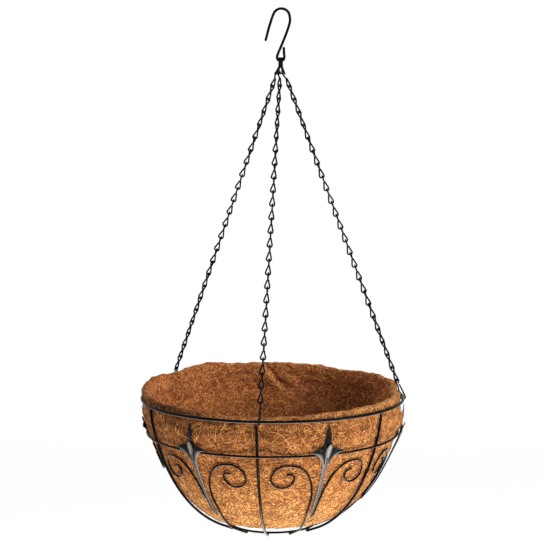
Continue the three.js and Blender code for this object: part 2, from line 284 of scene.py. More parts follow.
def coated_metal(name, dark, light, rough, specular, grain=900.0, bump=0.3, under=None):
    """Black coated wire or sheet: an uneven satin coat, orange peel, and rubbed greyer spots.

    under is a painted highlight: the greyer colour given to whatever faces down."""
    mat, nt, bsdf = node_material(name)
    where = add(nt, "ShaderNodeTexCoord").outputs["Object"]
    coat = add(nt, "ShaderNodeTexNoise", Scale=160.0, Detail=4.0, Roughness=0.6)
    peel = add(nt, "ShaderNodeTexNoise", Scale=grain, Detail=2.0)
    rubs = add(nt, "ShaderNodeTexNoise", Scale=38.0, Detail=6.0, Roughness=0.7)
    for n in (coat, peel, rubs):
        link(nt, where, n.inputs["Vector"])
    wear_and_sheen = ramp(nt, rubs.outputs["Fac"], [(0.56, grey(0.0)), (0.72, grey(1.0))]).outputs["Color"]
    base = ramp(nt, coat.outputs["Fac"], [(0.35, dark), (0.7, light)]).outputs["Color"]
    rubbed = tuple(c * 2.2 + 0.008 for c in light)
    color = mix(nt, wear_and_sheen, base, rubbed)
    if under:
        facing = add(nt, "ShaderNodeSeparateXYZ")
        link(nt, add(nt, "ShaderNodeTexCoord").outputs["Normal"], facing.inputs["Vector"])
        downwards = math_node(nt, "MULTIPLY", facing.outputs["Z"], -1.0)
        # Painted highlight: whatever faces down gets the greyer under colour.
        underside_highlight = ramp(nt, downwards, [(0.5, grey(0.0)), (0.85, grey(1.0))]).outputs["Color"]
        color = mix(nt, underside_highlight, color, under)
    link(nt, color, bsdf.inputs["Base Color"])
    level = ramp(nt, coat.outputs["Fac"], [(0.3, grey(rough - 0.06)), (0.75, grey(rough + 0.1))])
    link(nt, level.outputs["Color"], bsdf.inputs["Roughness"])
    bsdf.inputs["Specular IOR Level"].default_value = specular
    node = add(nt, "ShaderNodeBump", Strength=bump, Distance=0.00015)
    link(nt, peel.outputs["Fac"], node.inputs["Height"])
    link(nt, node.outputs["Normal"], bsdf.inputs["Normal"])
    return mat


# The frame's under colour is a painted highlight on the wires' lower sides.
FRAME_MAT = coated_metal("frame_black", (0.001, 0.001, 0.001), (0.003, 0.003, 0.0025), 0.25, 0.025,
                         under=(0.17, 0.142, 0.132))
HOOK_MAT = coated_metal("hook_black", (0.001, 0.001, 0.001), (0.003, 0.003, 0.003), 0.4, 0.03)
CHAIN_MAT = coated_metal("chain_black", (0.001, 0.001, 0.001), (0.004, 0.004, 0.004), 0.35, 0.04)
CLIP_MAT = coated_metal("clip_black", (0.001, 0.001, 0.001), (0.004, 0.004, 0.004), 0.35, 0.05)


def leaf_material(name):
    """Black coated sheet with a painted pale grey highlight on its raised bends, given by a vertex
    attribute.
    """
    mat = coated_metal(name, (0.002, 0.002, 0.002), (0.006, 0.006, 0.0065), 0.3, 0.07, 600.0)
    nt = mat.node_tree
    bsdf = nt.nodes["Principled BSDF"]
    coat = bsdf.inputs["Base Color"].links[0].from_socket
    # The vertex attribute read here is the painted highlight.
    shade = nt.nodes.new("ShaderNodeVertexColor")
    shade.layer_name = "painted_sheen"
    where = add(nt, "ShaderNodeTexCoord").outputs["Object"]
    uneven = add(nt, "ShaderNodeTexNoise", Scale=220.0, Detail=4.0, Roughness=0.7)
    link(nt, where, uneven.inputs["Vector"])
    patchy = ramp(nt, uneven.outputs["Fac"], [(0.3, grey(0.55)), (0.62, grey(1.0))]).outputs["Color"]
    link(nt, mix(nt, mix(nt, 1.0, shade.outputs["Color"], patchy, "MULTIPLY"), coat, (0.26, 0.235, 0.215)),
         bsdf.inputs["Base Color"])
    return mat


LEAF_MAT = leaf_material("leaf_black")

# Coir colours, from the darkest ground to the lightest fibre.
COIR_OUT = ((0.05, 0.011, 0.002), (0.168, 0.048, 0.01), (0.265, 0.092, 0.02), (0.54, 0.245, 0.071))
COIR_IN = ((0.06, 0.015, 0.004), (0.225, 0.063, 0.016), (0.38, 0.12, 0.032), (0.7, 0.3, 0.098))

# What full painted shade and full painted light multiply the coir's colour by.
PAINTED_SHADE_TINT, PAINTED_LIGHT_TINT = (0.25, 0.17, 0.15), (1.4, 1.7, 2.1)


def coir_tones(nt, ground, bright, dark, tones):
    """The mottled ground, with bright fibres over it and dark gaps between them."""
    base = ramp(nt, ground, [(0.3, tones[0]), (0.45, tones[1]), (0.66, tones[2])]).outputs["Color"]
    lit = mix(nt, bright, base, tones[3])
    return mix(nt, dark, lit, tuple(0.35 * c for c in tones[0]))


STREAK_WAYS = 7  # directions that the coir's streaks run in
STREAK_WIDTH, STREAK_LENGTH = 1 / 560.0, 1 / 85.0  # metres


def coir_streaks(nt, where):
    """The highest of several fields of long narrow streaks, one for each direction."""
    streak = None
    for k in range(STREAK_WAYS):
        turn = add(nt, "ShaderNodeMapping", vector_type="TEXTURE")
        turn.inputs["Rotation"].default_value = (0.0, 0.0, math.radians(25.7 * k + 8))
        turn.inputs["Scale"].default_value = (STREAK_LENGTH, STREAK_WIDTH, 1.0)
        turn.inputs["Location"].default_value = (0.31 * k, 0.17 * k, 0.0)
        link(nt, where, turn.inputs["Vector"])
        layer = add(nt, "ShaderNodeTexNoise", noise_dimensions="2D", Scale=1.0, Detail=1.0)
        link(nt, turn.outputs["Vector"], layer.inputs["Vector"])
        fac = layer.outputs["Fac"]
        streak = fac if streak is None else math_node(nt, "MAXIMUM", streak, fac)
    return streak


def coir_material(name):
    """Matted coconut fibre: crossing streaks over a mottled ground, shaded by the attribute tone."""
    mat, nt, bsdf = node_material(name)
    uv = add(nt, "ShaderNodeUVMap", uv_map="coir").outputs["UV"]
    warp = add(nt, "ShaderNodeTexNoise", Scale=70.0, Detail=2.0)
    link(nt, uv, warp.inputs["Vector"])
    bend = nt.nodes.new("ShaderNodeVectorMath")
    bend.operation = "MULTIPLY_ADD"
    link(nt, warp.outputs["Color"], bend.inputs[0])
    bend.inputs[1].default_value = (0.011, 0.011, 0.0)
    link(nt, uv, bend.inputs[2])
    streak = coir_streaks(nt, bend.outputs["Vector"])
    patch = add(nt, "ShaderNodeTexNoise", Scale=42.0, Detail=8.0, Roughness=0.72)
    speck = add(nt, "ShaderNodeTexNoise", Scale=420.0, Detail=3.0, Roughness=0.6)
    pits = add(nt, "ShaderNodeTexNoise", Scale=190.0, Detail=2.0, Roughness=0.5)
    for n in (patch, speck, pits):
        link(nt, uv, n.inputs["Vector"])
    ground = patch.outputs["Fac"]
    bright = ramp(nt, streak, [(0.64, grey(0.0)), (0.8, grey(0.9))]).outputs["Color"]
    fine = ramp(nt, speck.outputs["Fac"], [(0.36, grey(1.0)), (0.49, grey(0.0))]).outputs["Color"]
    deep = ramp(nt, pits.outputs["Fac"], [(0.3, grey(1.0)), (0.4, grey(0.0))]).outputs["Color"]
    dark = math_node(nt, "MULTIPLY", math_node(nt, "MAXIMUM", fine, deep), 0.8)
    shade = nt.nodes.new("ShaderNodeVertexColor")
    shade.layer_name = "tone"
    inside = coir_tones(nt, ground, bright, dark, COIR_IN)
    outside = coir_tones(nt, ground, bright, dark, COIR_OUT)
    sep = add(nt, "ShaderNodeSeparateColor")
    link(nt, shade.outputs["Color"], sep.inputs[0])
    both = mix(nt, sep.outputs["Red"], outside, inside)
    # Green in tone is painted shade and blue is painted light.
    shadow = mix(nt, sep.outputs["Green"], grey(1.0), PAINTED_SHADE_TINT)
    pale = mix(nt, sep.outputs["Blue"], grey(1.0), PAINTED_LIGHT_TINT)
    color = mix(nt, 1.0, mix(nt, 1.0, both, shadow, "MULTIPLY"), pale, "MULTIPLY")
    link(nt, color, bsdf.inputs["Base Color"])
    bsdf.inputs["Roughness"].default_value = 0.92
    bsdf.inputs["Specular IOR Level"].default_value = 0.12
    height = math_node(nt, "SUBTRACT", streak, math_node(nt, "MULTIPLY", dark, 0.35))
    node = add(nt, "ShaderNodeBump", Strength=1.0, Distance=0.0022)
    link(nt, height, node.inputs["Height"])
    link(nt, node.outputs["Normal"], bsdf.inputs["Normal"])
    return mat


COIR_MAT = coir_material("coir_mat")


def fibre_material(name, tones):
    """Single fibres: each has its own tone, a little uneven along its length."""
    mat, nt, bsdf = node_material(name)
    tone = add(nt, "ShaderNodeNewGeometry").outputs["Random Per Island"]
    along = add(nt, "ShaderNodeTexNoise", Scale=260.0, Detail=2.0)
    where = add(nt, "ShaderNodeTexCoord").outputs["Object"]
    link(nt, where, along.inputs["Vector"])
    level = math_node(nt, "ADD", tone, math_node(nt, "MULTIPLY", along.outputs["Fac"], 0.3))
    color = ramp(nt, level, [(0.1, tones[0]), (0.35, tones[1]), (0.7, tones[2]), (1.0, tones[3])])
    link(nt, color.outputs["Color"], bsdf.inputs["Base Color"])
    bsdf.inputs["Roughness"].default_value = 0.6
    bsdf.inputs["Specular IOR Level"].default_value = 0.2
    return mat


FIBRE_OUT = fibre_material("coir_fibre_out", COIR_OUT)
FIBRE_IN = fibre_material("coir_fibre_in", COIR_IN)


# ---- wire frame ----
def circle(radius, z, count):
    """Points on a level ring."""
    a = np.arange(count) * 2 * math.pi / count
    return np.stack([radius * np.sin(a), -radius * np.cos(a), np.full(count, z)], -1)


MIDDLE_R = float(bowl_r(MIDDLE_Z)) + (RIB_WIRE + MIDDLE_WIRE) / 2 + 0.3


def foot(diameter, from_deg, to_deg, count):
    """[radius, height] of a wire's foot as it wraps the base ring."""
    reach = (BASE_WIRE + diameter) / 2 + 0.35
    a = np.radians(np.linspace(from_deg, to_deg, count))
    return np.stack([BASE_R + reach * np.cos(a), BASE_Z + reach * np.sin(a)], -1)


def rib_path(azimuth):
    top = -(RIM_WIRE / 2 + 0.1)
    bottom = BASE_Z + 3  # where the foot's bend begins
    z = top + (bottom - top) * np.sin(np.linspace(0, math.pi / 2, 14))
    rz = np.vstack([np.stack([bowl_r(z), z], -1), foot(RIB_WIRE, -50, -112, 3)])
    out = outward(azimuth)
    return smooth([out * r + [0, 0, zz] for r, zz in rz], 6)


CURL_ACROSS, CURL_DOWN, CURL_R = 48.5, 79.0, 18.0
LEG_ACROSS, LEG_TURN, LEG_END = 5.2, 143.0, 154.0
BOW_POWER = 2 / 2.45  # squares the bow a little against an ellipse
CURL_TURN = math.radians(328)


def scroll_path(azimuth, side, is_long):
    """A leg along the spear, a bow over to the curl, and the curl. Long legs reach the base ring."""
    width, height = CURL_ACROSS - LEG_ACROSS, LEG_TURN - (CURL_DOWN - CURL_R)
    a = np.arange(8) / 8 * math.pi / 2
    bow = np.stack([CURL_ACROSS - width * np.cos(a) ** BOW_POWER,
                    LEG_TURN - height * np.sin(a) ** BOW_POWER], -1)
    t = np.arange(15) / 14
    a = -math.pi / 2 + t * CURL_TURN
    r = CURL_R * (1 - 0.12 * t - 0.16 * t**3 - 0.45 * t**6)
    curl = np.stack([CURL_ACROSS + r * np.cos(a), CURL_DOWN + r * np.sin(a)], -1)
    leg = [(0, 193), (0.4, 180), (1.8, 166), (3.6, LEG_END)] if is_long else [(3.2, LEG_END)]
    flat = np.vstack([leg, bow, curl])
    points = on_bowl(azimuth, side * flat[:, 0], flat[:, 1], 0.0)
    if is_long:
        out = outward(azimuth)
        start = [out * r + [0, 0, z] for r, z in foot(SCROLL_WIRE, -140, -50, 4)]
        points = np.vstack([start, points])
    return smooth(points, 5)


def bead(at, size, seed):
    """A small lump of weld under the coat."""
    bm = bmesh.new()
    bmesh.ops.create_icosphere(bm, subdivisions=2, radius=1.0)
    v = np.array([x.co[:] for x in bm.verts])
    f = [tuple(x.index for x in face.verts) for face in bm.faces]
    bm.free()
    lump = np.array([noise.noise(Vector(p * 1.3 + seed)) for p in v])
    return at + v * size * (1 + 0.25 * lump[:, None]), f


# Half sizes of the weld beads along a scroll's leg, at the rim, the middle ring and the base ring.
LEG_BEAD, RIM_BEAD, MIDDLE_BEAD, BASE_BEAD = np.array(
    [(1.7, 1.7, 1.5), (2.3, 2.3, 1.6), (2.1, 2.1, 1.9), (2.2, 2.2, 1.6)])


def add_frame():
    piece("rim_wire", tube(circle(RIM_R, 0.0, 240), RIM_WIRE, 14, True, 0.012), FRAME_MAT,
          "basket", ["rim_ring"])
    piece("middle_wire", tube(circle(MIDDLE_R, MIDDLE_Z, 220), MIDDLE_WIRE, 12, True, 0.015),
          FRAME_MAT, "basket", ["middle_ring"])
    piece("base_wire", tube(circle(BASE_R, BASE_Z, 120), BASE_WIRE, 12, True, 0.015),
          FRAME_MAT, "basket", ["base_ring"])
    beads = []
    for i in range(RIBS):
        azimuth = RIB_FIRST + i * 60.0
        n = i + 1
        piece(f"rib_wire_{n}", tube(rib_path(azimuth), RIB_WIRE, 12, wobble=0.012), FRAME_MAT,
              "basket", [f"rib_{n}"])
        for label, side, is_long in (("left", -1, i % 2 == 0), ("right", 1, i % 2 == 1)):
            path = scroll_path(azimuth + 30, side, is_long)
            piece(f"scroll_wire_{label}_{n}", tube(path, SCROLL_WIRE, 10, wobble=0.015), FRAME_MAT,
                  "basket", [f"scroll_{label}_{n}"])
            if is_long:
                beads.append(bead(path[10] + [0, 0, 0.6], LEG_BEAD, n + side))
        out = outward(azimuth)
        beads.append(bead(out * (BOWL_TOP_R + 0.6) + [0, 0, -2.6], RIM_BEAD, n))
        beads.append(bead(out * (MIDDLE_R - 1.8) + [0, 0, MIDDLE_Z], MIDDLE_BEAD, n + 20))
        beads.append(bead(out * (BASE_R + 0.6) + [0, 0, BASE_Z - 1.8], BASE_BEAD, n + 40))
    piece("welds", merged(beads), FRAME_MAT, "basket")


# ---- spears ----
PETAL_OUT = 5.0  # the petals' height over the bowl, clear of the middle ring
SHEET = 1.1  # thickness
SPEAR_SHEEN = (1.0, 0.05, 0.4, 0.4, 0.05, 0.8)  # how much painted highlight each spear gets, from the front's right on; little on the two at the sides


def strip(rows, azimuth, crease=0.0, painted_sheen=(0.0, 0.0, 0.0), columns=9):
    """A pressed leaf wrapped onto the bowl: rows of [across, down, out, half width, cup].

    Its last argument is the painted highlight on its coat at one edge, its middle and the other edge."""
    rows = smooth(np.asarray(rows, float), 4)
    along = unit(np.gradient(rows[:, :2], axis=0))
    s = np.linspace(-1, 1, columns)
    domed = (1 - crease) * (1 - s * s) + crease * (1 - np.abs(s))
    verts = []
    for (x, y, z, w, cup), (tx, ty) in zip(rows, along):
        for k, dome in zip(s, domed):
            verts.append((x + ty * k * w, y - tx * k * w, z + cup * dome))
    verts = np.array(verts)
    n = len(rows)
    faces = [(i * columns + k, i * columns + k + 1, (i + 1) * columns + k + 1, (i + 1) * columns + k)
             for i in range(n - 1) for k in range(columns - 1)]
    wear_and_sheen = np.tile(np.interp(s, [-1, 0, 1], painted_sheen) ** 2, n)
    return on_bowl(azimuth, verts[:, 0], verts[:, 1], verts[:, 2]), faces, wear_and_sheen


def spear(azimuth):
    """A tall back petal, a curled front petal, two crescent side petals and a creased stem."""
    up = PETAL_OUT
    back = [(0.8, 6.5, up - 1.6, 0.25, 0.0), (0.7, 13, up - 1.3, 2.1, 0.4), (0.4, 22, up - 0.6, 4.0, 0.8),
            (0, 31, up - 0.1, 5.6, 0.9), (0, 38, up + 0.3, 5.8, 0.9), (0, 45, up + 0.5, 3.8, 0.8)]
    front = [(1.6, 29.5, up + 4.6, 0.8, -0.3), (1.2, 32.5, up + 4.4, 3.2, -0.6),
             (0.6, 37, up + 3.4, 4.0, -0.4), (0.2, 42, up + 2.4, 3.6, 0.6), (0, 48, up + 1.7, 2.6, 1.0)]
    # The front petal, the lower edges of the side petals and the stem get a painted highlight.
    strips = [strip(back, azimuth, 0.35), strip(front, azimuth, 0.0, (0.35, 0.95, 0.5))]
    for side in (-1, 1):
        curl = [(side * 21.8, 40.0, up + 2.6, 0.25, 0.0), (side * 18, 40.0, up + 2.4, 1.8, 0.7),
                (side * 13.4, 39.8, up + 2.0, 4.0, 1.5), (side * 9.0, 41.2, up + 1.5, 5.2, 2.1),
                (side * 5.6, 45.0, up + 0.9, 5.0, 2.0), (side * 3.2, 51.0, up + 0.5, 3.8, 1.6),
                (side * 1.6, 58, up + 0.1, 2.2, 1.0)]
        strips.append(strip(curl, azimuth, 0.0, (0.0, 0.05, 1.0)[::side]))
    stem = [(0, 42, up + 0.9, 5.0, 1.9), (0, 48, up + 0.7, 5.5, 2.2), (0, 55, up + 0.1, 4.6, 2.2),
            (0, 62, up - 0.8, 3.5, 2.0), (0, 73, up - 1.7, 2.7, 1.7), (0, 90, up - 2.4, 2.3, 1.4),
            (0, 115, up - 2.7, 1.8, 1.2), (0, 135, up - 2.8, 1.1, 0.7), (0, 147, up - 2.8, 0.55, 0.3),
            (0, 151.5, up - 2.8, 0.2, 0.1)]
    strips.append(strip(stem, azimuth, 0.8, (0.95, 0.4, 0.8)))
    shape = merged([(verts, faces) for verts, faces, _ in strips])
    return shape, np.concatenate([wear_and_sheen for _, _, wear_and_sheen in strips])


def add_spears():
    for i in range(RIBS):
        shape, wear_and_sheen = spear(RIB_FIRST + 30 + i * 60.0)
        obj = piece(f"spear_leaf_{i + 1}", shape, LEAF_MAT, "basket", [f"spear_{i + 1}"])
        # Painted highlight, scaled for each spear.
        wear_and_sheen = wear_and_sheen * SPEAR_SHEEN[i]
        colors = np.stack([wear_and_sheen, wear_and_sheen, wear_and_sheen, np.ones_like(wear_and_sheen)], -1)
        painted_sheen = obj.data.color_attributes.new("painted_sheen", "FLOAT_COLOR", "POINT")
        painted_sheen.data.foreach_set("color", colors.ravel())
        solid = obj.modifiers.new("sheet", "SOLIDIFY")
        solid.thickness = SHEET * MM
        solid.offset = 0.0
        rounder = obj.modifiers.new("round", "SUBSURF")
        rounder.levels = rounder.render_levels = 1


# ---- hook, chains and clips, in millimetres from the hook's crown ----
CROWN_X, CROWN_R = 0.6, 11.2  # the hook's upper bend


def hook_path():
    """The tip, the crown, the slanting shank and the narrow eye."""
    turn = np.radians([150, 120, 90, 60, 30, 0])
    crown = [(CROWN_X + CROWN_R * math.cos(a), 0, HOOK_WIRE / 2 + CROWN_R * (math.sin(a) - 1)) for a in turn]
    lower = EYE_X - EYE_HALF
    upper = EYE_X + EYE_HALF
    points = [(-20.3, 0, -39.7), (-16.4, 0, -24.8), (-12.7, 0, -13), *crown, (11.7, 0, -17),
              (7.2, 0, -31), (1.1, 0, -46), (-3.2, 0, -56), (lower, 0, -62),
              (lower + 0.8, 0, -65.4), (EYE_X - 2.4, 0, EYE_Z), (EYE_X + 2.4, 0, EYE_Z),
              (upper - 0.8, 0, -65.4), (upper, 0, -62), (4.1, 0, -56), (3.9, 0, -50.3)]
    return smooth(points, 7)


class Chain:
    """Where one chain lies: from its top link's waist straight to the rim wire."""

    def __init__(self, k):
        azimuth = CHAIN_AZIMUTHS[k]
        self.rim = outward(azimuth) * RIM_R + TO_FRAME
        self.eye = np.array([EYE_X + EYE_PLACES[k], 0.0, EYE_Z])
        tilt = TOP_TILT[k]
        self.knee = np.array([self.eye[0], math.sin(tilt) * TOP_LOOP, EYE_Z - math.cos(tilt) * TOP_LOOP])
        self.down = unit(self.rim - self.knee)
        self.side = unit(np.cross([0, 0, 1.0], [self.down[0], self.down[1], 0]))
        self.out = -np.cross(self.down, self.side)
        self.level = unit(np.cross(self.down, [0, 1.0, 0]))  # across the chain, seen from the front
        self.depth = np.cross(self.level, self.down)
        length = np.linalg.norm(self.rim - self.knee)
        self.pitch = (length - CLIP_LEN - HOOKING / 2) / (LINKS + 0.5)
        self.loop = (self.pitch + CHAIN_WIRE + 0.1) / 2

    def waist(self, i):
        return self.knee + self.down * (i * self.pitch)

    def turned(self, degrees):
        """The directions that a link's lower and upper loops spread in."""
        a = math.radians(degrees)
        lower = math.cos(a) * self.level + math.sin(a) * self.depth
        return lower, math.cos(a) * self.depth - math.sin(a) * self.level


def drop(length):
    """A link's loop, [across, along] from the waist, round the crown and to the waist again."""
    return [(0.9, 1.0), (1.7, length * 0.4), (2.6, length * 0.7), (2.3, length * 0.92), (0, length),
            (-2.9, length * 0.92), (-3.5, length * 0.74), (-2.3, length * 0.42), (-1.0, 1.0)]


WAIST_UP = 1.7  # a link's lower loop is longer than its upper one by twice this


def link_path(chain, i, turn):
    """One link: round its upper loop, through its waist and round its lower loop."""
    side, out = chain.turned(turn)
    down = chain.down
    w = chain.waist(i) - down * WAIST_UP
    upper = drop(chain.loop - WAIST_UP)
    way = 1
    if i == 1:  # the first link's inner leg is open
        upper, way = upper[4:], -1
    points = [w + out * way * x - down * y for x, y in upper]
    points += [w] + [w + side * x + down * y for x, y in drop(chain.loop + WAIST_UP)]
    return smooth(points, 4)


def ease(x, start, end):
    """0 at the start, 1 at the end and smooth between them."""
    t = np.clip((x - start) / (end - start), 0, 1)
    return t * t * (3 - 2 * t)


# Each chain's twist towards the rim, in degrees, and the shares of its length where it starts and ends.
FOOT_TWIST, TWIST_START, TWIST_END = (0, 45, 48), (0.99, 0.61, 0.49), (1, 0.95, 0.85)


def link_turn(k, i):
    """A link's turn about its chain: square to the front in the middle, twisted near the ends."""
    t = i / LINKS
    top = 45 * (1 - ease(t, 0.1, 0.42))
    rim = FOOT_TWIST[k] * ease(t, TWIST_START[k], TWIST_END[k])
    return top - rim + 5.0 * math.sin(i * 1.7 + k)


def add_chain(k):
    chain = Chain(k)
    n = k + 1
    reach = (HOOK_WIRE + CAD_CHAIN_WIRE) / 2 + 0.3  # round the hook's eye
    tilt, eye = TOP_TILT[k], chain.eye
    across = np.array([0, math.cos(tilt), math.sin(tilt)])
    along = np.array([0, math.sin(tilt), -math.cos(tilt)])
    wide = reach + 0.25
    top = [(1.1, TOP_LOOP - 1.6), (wide, 1.2), (1.9, -reach + 0.6), (0, -reach), (-1.9, -reach + 0.6),
           (-wide, 1.2), (-0.9, TOP_LOOP - 1.4)]
    path = [eye + across * x + along * y for x, y in top]
    path += [chain.knee] + [chain.knee + chain.side * x + chain.down * y for x, y in drop(chain.loop)]
    piece(f"jack_top_{n}", tube(smooth(path, 4), CHAIN_WIRE, 8), CHAIN_MAT, f"top_link_{n}",
          [f"top_link_{n}"], local=False)
    for s in range(SEGMENTS):
        first = 1 + round(s * LINKS / SEGMENTS)
        last = round((s + 1) * LINKS / SEGMENTS)
        shape = merged([tube(link_path(chain, i, link_turn(k, i)), CHAIN_WIRE, 8)
                        for i in range(first, last + 1)])
        piece(f"jack_chain_{n}_{s + 1}", shape, CHAIN_MAT, f"chain_{n}_{s + 1}",
              [f"chain_{n}_{s + 1}"], local=False)
    hug = (RIM_WIRE + CLIP_WIRE) / 2 + 0.15
    turn = [(hug * math.cos(a), -hug * math.sin(a)) for a in np.radians(range(0, 181, 30))]
    clip = [(-1.0, CLIP_LEN - 3.4), (-2.3, CLIP_LEN - 0.6), (-1.5, CLIP_LEN + 1.7), (0, CLIP_LEN + 2.3),
            (1.5, CLIP_LEN + 1.7), (2.3, CLIP_LEN - 0.6), (1.2, CLIP_LEN - 4.2), *turn,
            (-1.3, CLIP_LEN - 6.2)]
    path = smooth([chain.rim + chain.out * x - chain.down * y for x, y in clip], 5)
    piece(f"rim_clip_{n}", tube(path, CLIP_WIRE, 10), CLIP_MAT, f"clip_{n}",
          [f"clip_{n}"], local=False)


# ---- coir liner ----
# Height of the torn edge over the rim plane, by azimuth.
EDGE = [(-180, 18), (-174, 20), (-168, 17), (-150, 22), (-135, 20.5), (-116, 17), (-104, 14.5), (-94, 9.5),
        (-84, 6.5), (-72, 5.2), (-58, 4.5), (-40, 4.2), (-24, 3.2), (-10, 1), (0, 2), (14, 4.5), (30, 7),
        (55, 8.5), (75, 9), (90, 10), (105, 14), (130, 15), (140, 12), (156, 16), (171, 18.5), (180, 18)]
FLOOR_SHARE = 0.16  # of the liner's outline that is its floor
FLOOR_ROUND = 5.0  # height by which the floor's rim curls up
FLOOR_ROWS, WALL_ROWS, AROUND = 12, 88, 330
CHAIN_DENTS = (5.5, 7.5, 10.5)  # how far each chain's clip pushes the edge in


def rim_room(z):
    """The radius that the mat keeps to, so that it clears the rim wire at rest and when lifted."""
    return 175.7 + 1.8 * ease(-z, 13, 21) + 12 * ease(z, 1.5, 6)


def fbm(points, scale, octaves=3, seed=0.0):
    """Fractal noise at points in mm, about -1 to 1."""
    shift = Vector((seed, -seed, 2 * seed))
    return np.array([noise.fractal(Vector(p) / scale + shift, 0.6, 2.1, octaves) for p in points])


def hump(x, centre, width):
    """A bump that is 1 at its centre."""
    return np.exp(-(((x - centre) / width) ** 2))


def around_hump(azimuth, centre, width):
    """The same round the basket, in degrees."""
    return hump((azimuth - centre + 180) % 360 - 180, 0, width)


def fold_line(azimuth, z):
    """Degrees past the edge of the flap that overlaps inside the back."""
    line = -174.8 - 0.29 * np.clip(18 - z, 0, 60)
    return (azimuth - line + 180) % 360 - 180


def fold_share(z):
    """How far the fold has opened: none of it is left low in the bowl."""
    return np.clip((z + 26) / 16, 0, 1)


def fold(azimuth, z):
    """How far the flap stands inwards, with a groove along its edge."""
    off = fold_line(azimuth, z)
    flap = np.exp(-np.clip(off, 0, None) / 14) / (1 + np.exp(-off / 0.45))
    return (8.0 * flap - 2.6 * hump(off, -1.7, 1.7)) * fold_share(z)


def crease(azimuth, z):
    """A crease that runs from the flap's foot towards the right, from 0 to 1."""
    along = 178 - azimuth % 360
    return hump(z, -4 - 1.3 * along, 2.4) * ease(along, -2, 1) * (1 - ease(along, 8, 13))


def liner_point(azimuth, t, face):
    """Radius and height. face is 0 outside and 1 inside; t is 0 at the floor's centre, 1 at the edge."""
    edge = np.interp(azimuth, *zip(*EDGE))
    edge = edge + 0.7 * np.sin(azimuth * 0.33) + 0.5 * np.sin(azimuth * 0.81 + 1)
    wall = np.clip((t - FLOOR_SHARE) / (1 - FLOOR_SHARE), 0, 1)
    s = 1 - (1 - wall) ** 1.5
    curl = FLOOR_ROUND * np.clip(t / FLOOR_SHARE, 0, 1) ** 4
    foot = LINER_FLOOR + curl
    inset = LINER_WALL * face
    zo = foot + (edge - foot) * s  # height of the same row on the outside
    z = zo + inset * (1 - s)
    r = np.where(zo > 0, 175.2 - 0.12 * zo, bowl_r(zo - 2.7) - RIB_WIRE / 2 - 0.8)
    # It bulges between the ribs, most of all near the rim.
    between = ease(np.abs(np.sin(np.radians(azimuth - RIB_FIRST) * RIBS / 2)), 0.1, 0.6)
    r = r + between * (0.8 + 5.5 * ease(zo, -70, -15)) * ease(zo, LINER_FLOOR, LINER_FLOOR + 30)
    off_spear = (azimuth - RIB_FIRST) % 60.0 - 30.0
    r = r + 3.2 * hump(off_spear, 0, 4.5) * ease(zo, -105, -66)  # pressed out to each spear's stem
    # The middle ring and the rim wire hold it in.
    r = np.minimum(r, MIDDLE_R - MIDDLE_WIRE / 2 - 0.1 + 0.5 * np.abs(z - MIDDLE_Z))
    r = np.minimum(r, 177.2 - 1.8 * ease(z, -9, -3))
    high = ease(z, -14, 4)
    for c, dent in zip(CHAIN_AZIMUTHS, CHAIN_DENTS):
        r = r - dent * ease(z, -26, -11) * around_hump(azimuth, c, 9.0)
    r = r + 4.0 * ease(z, 1.5, 8) * around_hump(azimuth, -98, 22)  # leans out over the rim
    r = r + high * (1.6 * around_hump(azimuth, 60, 30) - 3.0 * around_hump(azimuth, -38, 26))
    r = (r - inset) * np.clip(t / FLOOR_SHARE, 0, 1)
    return r, z


def liner_layers():
    """Rings of points from the floor's middle up the outside, over the edge and down the inside."""
    azimuth = np.linspace(-180, 180, AROUND, endpoint=False)
    t = np.concatenate([np.linspace(0.004, FLOOR_SHARE, FLOOR_ROWS, endpoint=False),
                        np.linspace(FLOOR_SHARE, 1.0, WALL_ROWS)])
    azimuth, t = np.meshgrid(azimuth, t)
    a = np.radians(azimuth)
    grids = []
    for face in (0, 1):
        r, z = liner_point(azimuth, t, face)
        p = np.stack([np.sin(a) * r, -np.cos(a) * r, z], -1).reshape(-1, 3)
        lump = (1.2 * fbm(p, 36, 3, 1.0 + face) + 0.5 * fbm(p, 7, 3, 7.0 + face)).reshape(r.shape)
        if face:
            hollow = around_hump(azimuth, 132, 24) * hump(z, -30, 20)
            lump = lump * 1.5 - fold(azimuth, z) + 3.0 * hollow + 2.5 * crease(azimuth, z)
        steep = ease(z, LINER_FLOOR, LINER_FLOOR + 30)
        ragged = ease(t, 0.96, 1.0) * 0.8 * fbm(p * [1, 1, 0], 9, 3, 3.0).reshape(r.shape)
        r = r + lump * steep
        if not face:
            r = np.minimum(r, rim_room(z))
        grids.append(np.stack([np.sin(a) * r, -np.cos(a) * r, z + lump * (1 - steep) + ragged], -1))
    outer, inner = grids
    lip = (outer[-1] + inner[-1]) / 2 + [0, 0, 1.5]
    near_out = outer[-1] * 0.75 + lip * 0.25 + [0, 0, 0.85]
    near_in = inner[-1] * 0.75 + lip * 0.25 + [0, 0, 0.85]
    return np.array([*outer, near_out, lip, near_in, *inner[::-1]])


